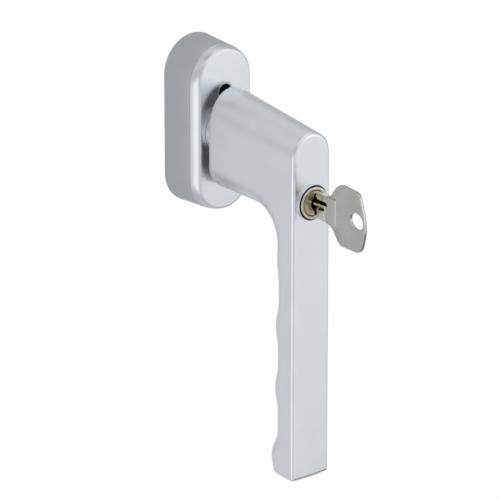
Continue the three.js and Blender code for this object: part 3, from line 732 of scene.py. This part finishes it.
def lock_bore():
    """The stepped bore for the lock and its bolt, open at both ends."""
    return lathe("bore", [
        (BORE_RADIUS + 0.1, BOSS_FRONT_Y - 1), (BORE_RADIUS + 0.1, BOSS_FRONT_Y),
        (BORE_RADIUS, BOSS_FRONT_Y + 0.1), (BORE_RADIUS, BORE_BACK_Y),
        (BOLT_BORE_RADIUS, BORE_BACK_Y), (BOLT_BORE_RADIUS, BOLT_BORE_END_Y),
        (BOLT_NOSE_RADIUS, BOLT_BORE_END_Y), (BOLT_NOSE_RADIUS, NECK_BACK_Y + 1),
    ], z=LOCK_Z)


def grip():
    """The casting with its spigot and boss, bored for the spindle, the lock and the lock bolt."""
    margin = 1.1
    low = (-GRIP_HALF_SPAN, GRIP_FRONT_Y - margin, GRIP_BOTTOM_Z - margin)
    high = (GRIP_HALF_SPAN, NECK_BACK_Y + margin, NECK_TOP_Z[0] + margin)
    casting = field_skin("grip_casting", grip_field, low, high)
    rim = rounded_rim(BOSS_RADIUS, BOSS_FRONT_Y, BOSS_EDGE, 4)
    boss = lathe("boss", [(BOSS_RADIUS, BOSS_BACK_Y)] + rim, z=LOCK_Z)
    combine(casting, "UNION", spigot(), boss)
    half, rib = SOCKET_HALF, BOLT_RIB_HALF
    cut(casting, box_tool("socket", (-half, SOCKET_END_Y, -half), (half, 1, half)))
    cut(casting, lock_bore())
    rib_low, rib_high = (-rib, BORE_BACK_Y - 0.2, LOCK_Z), (rib, BOLT_BORE_END_Y, LOCK_Z + BOLT_RIB_REACH)
    cut(casting, box_tool("guide", rib_low, rib_high))
    return smooth(casting, 35)


# ---- lock cylinder ----------------------------------------------------------

def lock_housing():
    """The ring and barrel, slotted above and below for the wafers and notched for its pin."""
    front, inner = HOUSING_FRONT_Y, PLUG_RADIUS + PLUG_GAP
    profile = [(HOUSING_RADIUS, HOUSING_BACK_Y)] + rounded_rim(HOUSING_RADIUS, front, HOUSING_EDGE, 5)
    profile += [(radius, front + depth) for radius, depth in HOUSING_LIP]
    profile += [(inner, front + 0.5), (inner, HOUSING_BACK_Y)]
    housing = lathe("lock_ring", profile, z=LOCK_Z, closed=True)
    half, reach, (y0, y1) = HOUSING_SLOT_HALF, HOUSING_SLOT_REACH, HOUSING_SLOT_Y
    slots = box_tool("slots", (-half, y0, LOCK_Z - reach), (half, y1, LOCK_Z + reach))
    radius, y, z = HOUSING_PIN_HOLE
    return smooth(cut(housing, slots, bar_across("pin_hole", radius, -6, 12, y, z)), 25)


def wavy_section(left, right):
    """(x, z) outline between a wavy left side, listed from top to bottom, and a flat right side."""
    low, high = left[-1][1], left[0][1]
    return [(x, LOCK_Z + h) for x, h in left] + [(right, LOCK_Z + low), (right, LOCK_Z + high)]


def wafer_centres():
    """Where the wafers stand along y, from the front to the back."""
    return [FIRST_WAFER_Y + i * WAFER_PITCH for i in range(WAFER_COUNT)]


def lock_plug():
    """The turning core, with its keyway, the wafers' slots and the drive pin's hole."""
    face = PLUG_FRONT_Y
    front = [(PLUG_RADIUS - PLUG_EDGE, face), (PLUG_RADIUS, face + PLUG_EDGE), (PLUG_RADIUS, PLUG_BACK_Y)]
    plug = lathe("lock_core", front + list(PLUG_TAIL), z=LOCK_Z)
    tools = [prism("keyway", wavy_section(KEYWAY_LEFT, KEYWAY_RIGHT), face - 1, KEYWAY_BACK_Y)]
    half, reach = WAFER_HALF_WIDTH, WAFER_REACH
    ear_low, ear_high = WAFER_EAR_HEIGHTS
    for y in wafer_centres():
        y0, y1 = y - WAFER_SLOT, y + WAFER_SLOT
        tools.append(box_tool("slot", (-half, y0, LOCK_Z - reach), (half, y1, LOCK_Z + reach)))
        tools.append(box_tool("ear_slot", (0, y0, LOCK_Z + ear_low), (WAFER_EAR_X, y1, LOCK_Z + ear_high)))
    radius, y, z = DRIVE_PIN_HOLE
    tools.append(bar_across("drive_hole", radius, -2, 11, y, z))
    return smooth(cut(plug, *tools), 25)


# ---- key --------------------------------------------------------------------

def key_plate(name, outline, half_thickness):
    """An outline of (u, v) points made into a plate."""
    ring = np.array([(0.0, -u, LOCK_Z + v) for u, v in outline])
    return loft(name, [ring + np.array([x, 0, 0]) for x in (-half_thickness, half_thickness)])


def bow_outline():
    """The shank's end and the bow, from the shank's lower edge round to its upper edge."""
    lower = bezier((79.9, -5.6), (84.6, -6.4), (84.4, -12.2), (88.5, -12.3))
    corner = [(95.6, -12.3)] + bezier((96.2, -12.3), (98.6, -12.2), (99.3, -10.4), (100.0, -6.2))
    end = bezier((100.0, -6.2), (101.4, -2.0), (100.6, 1.2), (97.9, 8.5))
    top = bezier((97.9, 8.5), (97.6, 9.7), (97.1, 10.9), (95.5, 11.1)) + [(88.0, 11.6)]
    upper = bezier((88.0, 11.6), (83.8, 11.6), (82.9, 5.4), (80.2, 5.2))
    points = lower + corner + end[1:] + top[1:] + upper[1:]
    return [p for i, p in enumerate(points) if i == 0 or math.dist(p, points[i - 1]) > 0.05]


def shank_pad():
    """The thicker middle of the shank, ramping down to the bow at its outer end."""
    thin, thick = KEY_BOW_HALF_THICKNESS - 0.2, KEY_SHANK_HALF_THICKNESS
    inner, step, end = KEY_SHOULDER_U, KEY_STEP_U, KEY_STEP_U + KEY_STEP_RUN
    side = [(-thick, inner), (-thick, step), (-thin, end), (thin, end), (thick, step), (thick, inner)]
    return loft("pad", [np.array([(x, -u, LOCK_Z + v) for x, u in side]) for v in KEY_SHANK_V])


def wafer_cut(u, level, edge, way):
    """Four points of one cut in the blade's upper (1) or lower (-1) edge, run through outwards or inwards."""
    depth = CUT_DEPTH + CUT_STEP * level
    steps = ((-CUT_HALF_TOP, 0), (-CUT_HALF_FLOOR, depth), (CUT_HALF_FLOOR, depth), (CUT_HALF_TOP, 0))
    return [(u + way * du, edge * (KEY_BLADE_HALF_HEIGHT - d)) for du, d in steps]


def notched_blade():
    """Side outline of the blade, with the wafer cuts along both edges."""
    half = KEY_BLADE_HALF_HEIGHT
    cuts = [(i, -y) for i, y in enumerate(wafer_centres())]
    top = [p for i, u in reversed(cuts) for p in wafer_cut(u, 2 * i % 3, 1, 1)]
    low = [p for i, u in cuts for p in wafer_cut(u, (2 * i + 1) % 3, -1, -1)]
    front, slope_end = KEY_SHOULDER_U + 0.4, KEY_TIP_U + KEY_TIP_SLOPE
    outline = [(KEY_TIP_U, KEY_TIP_HALF), (slope_end, half)] + top + [(front, half), (front, -half)]
    return outline + low + [(slope_end, -half), (KEY_TIP_U, -KEY_TIP_HALF)]


def key():
    """Bow, shank and blade in one, with the ring hole, the milled side and the grooves."""
    low, high = KEY_SHANK_V
    outline = [(KEY_SHOULDER_U, low)] + bow_outline() + [(KEY_SHOULDER_U, high)]
    body = key_plate("key_cut", outline, KEY_BOW_HALF_THICKNESS)
    combine(body, "UNION", shank_pad())
    u, v, radius_u, radius_v = KEY_HOLE
    turn = turns(40)
    hole = list(zip(u + radius_u * np.cos(turn), v + radius_v * np.sin(turn)))
    cut(body, key_plate("ring_hole", hole, 4))
    soften(body, KEY_EDGE)
    milled_x, milled_z = KEY_MILLED_DEPTH - KEY_SHANK_HALF_THICKNESS, LOCK_Z + KEY_MILLED_TOP
    cut(body, box_tool("milled", (-3, -KEY_MILLED_U, LOCK_Z - 6), (milled_x, -60, milled_z)))
    blade = prism("blade", wavy_section(BLADE_LEFT, BLADE_RIGHT), -KEY_SHOULDER_U - 0.3, -KEY_TIP_U)
    combine(blade, "INTERSECT", key_plate("notches", notched_blade(), 4))
    combine(body, "UNION", blade)
    for side, height, half, depth, end in KEY_GROOVES:
        x0, x1 = sorted((side * (KEY_SHANK_HALF_THICKNESS - depth), side * 3))
        z = LOCK_Z + height
        run = box_tool("groove", (x0, -end, z - half), (x1, -KEY_SHOULDER_U + 0.4, z + half))
        cut(body, run, bar_across("groove_end", half, x0, x1, -end, z, 20))
    return smooth(body, 24)


# ---- fixings and hidden works -----------------------------------------------

def refined(node, name, width):
    """A finished copy of a CAD node: flat faces made whole, edges broken, round faces smooth."""
    obj = linked(bpy.data.objects.new(name, frame["nodes"][node].data.copy()))
    work = bmesh.new()
    work.from_mesh(obj.data)
    bmesh.ops.remove_doubles(work, verts=work.verts, dist=1e-6)
    bmesh.ops.dissolve_limit(work, angle_limit=math.radians(1), verts=work.verts, edges=work.edges)
    bmesh.ops.recalc_face_normals(work, faces=work.faces)
    work.to_mesh(obj.data)
    work.free()
    return smooth(soften(obj, width), 28)


def fixing_screw(name, z, segments=40):
    """Countersunk screw with a rolled thread and a cross recess."""
    turn = turns(segments)
    rings = [circle(radius, y, 0.0, z, segments) for radius, y in SCREW_HEAD]
    for y in np.arange(SCREW_THREAD_Y, SCREW_TIP_Y, SCREW_PITCH / 8):
        ridge = 1 - np.abs(((y / SCREW_PITCH + turn / (2 * np.pi)) % 1) * 2 - 1)
        taper = min(1.0, (SCREW_TIP_Y - y) / SCREW_TIP_TAPER)
        size = SCREW_TIP_SIZE + (1 - SCREW_TIP_SIZE) * taper
        rings.append(circle((SCREW_CORE + SCREW_THREAD * ridge) * size, y, 0.0, z, segments))
    screw = loft(name, rings)
    long, narrow, depth = SCREW_RECESS
    for x, h in ((long, narrow), (narrow, long)):
        low, high = (-x, SCREW_HEAD_Y - 1, z - h), (x, SCREW_HEAD_Y + depth, z + h)
        cut(screw, box_tool("recess", low, high))
    return smooth(screw, 32)


def ball(name, node):
    """A polished ball, turned from an arc, in the place of its CAD node."""
    low, high = (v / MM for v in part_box(node))
    centre, radius = (low + high) / 2, (high - low)[1] / 2
    profile = arc((0.0, centre.y), radius, -86, 86, 24)
    return smooth(lathe(name, profile, x=centre.x, z=centre.z, segments=48), 30)


dress(rosette_cover(), "satin_aluminium", "cover", "rosette_cover")
dress(grip(), "satin_aluminium", "handle", "grip")
dress(lock_housing(), "lock_nickel", "handle", "lock_housing")
dress(lock_plug(), "lock_brass", "plug", "lock_plug")
dress(key(), "key_nickel", "key", "key")
for place, z in (("upper", SCREW_SPACING / 2), ("lower", -SCREW_SPACING / 2)):
    screw, detent = f"fixing_screw_{place}", f"detent_ball_{place}"
    dress(fixing_screw(f"screw_{place}", z), "zinc_plated_steel", "base", screw)
    dress(ball(f"ball_{place}", detent), "spring_steel", f"ball_{place}", detent)

bodies = {
    node: body for body, members in frame["record"]["behaviour"]["bodies"].items() for node in members
}
slots = {row["node"]: row["material_slot"] for row in frame["record"]["subparts"]}
for node, width in EDGE_WIDTHS.items():
    dress(refined(node, f"{node}_finished", width), slots[node], bodies[node], node)
for node, obj in frame["nodes"].items():
    obj.data.materials.clear()
    obj.data.materials.append(MATERIALS[slots[node]])


# ---- studio -----------------------------------------------------------------

def studio_world():
    """White to the camera; for reflections, a studio of soft bright and dark fields by direction."""
    world = bpy.data.worlds.new("studio")
    bpy.context.scene.world = world
    n = Nodes(world)
    n.tree.nodes.clear()
    direction = n.new("ShaderNodeTexCoord").outputs["Generated"]
    level = WORLD_BASE
    for towards, brightness, inner, outer in WORLD_FIELDS:
        axis = Vector(towards).normalized()
        dot = n.new("ShaderNodeVectorMath", {0: direction, 1: axis}, operation="DOT_PRODUCT")
        cosines = math.cos(math.radians(outer)), math.cos(math.radians(inner))
        mask = n.faded(dot.outputs["Value"], *cosines)
        mix = n.new("ShaderNodeMix", {"Factor": mask, "A": level, "B": brightness}, data_type="FLOAT")
        level = mix.outputs["Result"]
    light = n.new("ShaderNodeBackground", {"Color": COOL_WHITE, "Strength": level})
    white = n.new("ShaderNodeBackground", {"Color": (1, 1, 1, 1)})
    to_camera = n.new("ShaderNodeLightPath").outputs["Is Camera Ray"]
    choice = n.new("ShaderNodeMixShader", {0: to_camera, 1: light.outputs[0], 2: white.outputs[0]})
    n.new("ShaderNodeOutputWorld", {"Surface": choice.outputs[0]})


def glow_from_front(obj, name, colour, strength, fades=()):
    """A glowing material, clear from behind and where the fades along the object's axes are at 0."""
    material = bpy.data.materials.new(name)
    n = Nodes(material)
    n.tree.nodes.clear()
    place = n.new("ShaderNodeSeparateXYZ", {0: n.new("ShaderNodeTexCoord").outputs["Object"]})
    behind = n.new("ShaderNodeNewGeometry").outputs["Backfacing"]
    cover = n.new("ShaderNodeMath", {0: 1.0, 1: behind}, operation="SUBTRACT").outputs[0]
    for axis, clear_at, full_at in fades:
        fade = n.faded(place.outputs[axis], clear_at * MM, full_at * MM)
        cover = n.new("ShaderNodeMath", {0: cover, 1: fade}, operation="MULTIPLY").outputs[0]
    glow = n.new("ShaderNodeEmission", {"Color": colour, "Strength": strength})
    clear = n.new("ShaderNodeBsdfTransparent")
    choice = n.new("ShaderNodeMixShader", {0: cover, 1: clear.outputs[0], 2: glow.outputs[0]})
    n.new("ShaderNodeOutputMaterial", {"Surface": choice.outputs[0]})
    obj.data.materials.append(material)


def floor():
    """A plain white floor well below the handle, seen by the camera alone."""
    half = FLOOR_HALF
    corners = [(x, y, FLOOR_Z) for x, y in ((-half, -half), (half, -half), (half, half), (-half, half))]
    plane = mesh_object("floor", corners, [range(4)])
    glow_from_front(plane, "floor_white", (1, 1, 1, 1), 1.0)
    plane.visible_glossy = False
    plane.visible_diffuse = False
    plane.visible_shadow = False


def shade_card():
    """A grey card just behind the rosette's plane that its side wall mirrors; nothing else sees it."""
    card = mesh_object("shade_card", CARD_CORNERS, [range(4)], outwards=False)
    glow_from_front(card, "card_grey", COOL_WHITE, CARD_STRENGTH, CARD_FADES)
    card.visible_camera = False
    card.visible_diffuse = False
    card.visible_shadow = False


def softboxes():
    """Two large soft lights from the front, out of the mirror of the metal."""
    for name, place, size, power in SOFTBOXES:
        data = bpy.data.lights.new(name, "AREA")
        data.size = size * MM
        data.energy = power
        light = linked(bpy.data.objects.new(name, data))
        light.location = Vector(place) * MM
        light.rotation_euler = light.location.to_track_quat("Z", "Y").to_euler()
        light.visible_glossy = False


def camera():
    """Stands to the left of the handle, a little above it, and looks at the middle of its outline."""
    turn, rise = math.radians(CAMERA_TURN_DEG), math.radians(CAMERA_RISE_DEG)
    back = Vector((-math.sin(turn) * math.cos(rise), -math.cos(turn) * math.cos(rise), math.sin(rise)))
    right = Vector((math.cos(turn), -math.sin(turn), 0))
    aim = (right * CAMERA_AIM[0] + back.cross(right) * CAMERA_AIM[1]) * MM
    data = bpy.data.cameras.new("camera")
    data.lens = CAMERA_LENS
    data.clip_start, data.clip_end = 0.1, 100
    view = linked(bpy.data.objects.new("camera", data))
    view.location = back * CAMERA_DISTANCE * MM
    view.rotation_euler = (view.location - aim).to_track_quat("Z", "Y").to_euler()
    bpy.context.scene.camera = view


studio_world()
floor()
shade_card()
softboxes()
camera()
bpy.context.scene.view_settings.view_transform = "Standard"
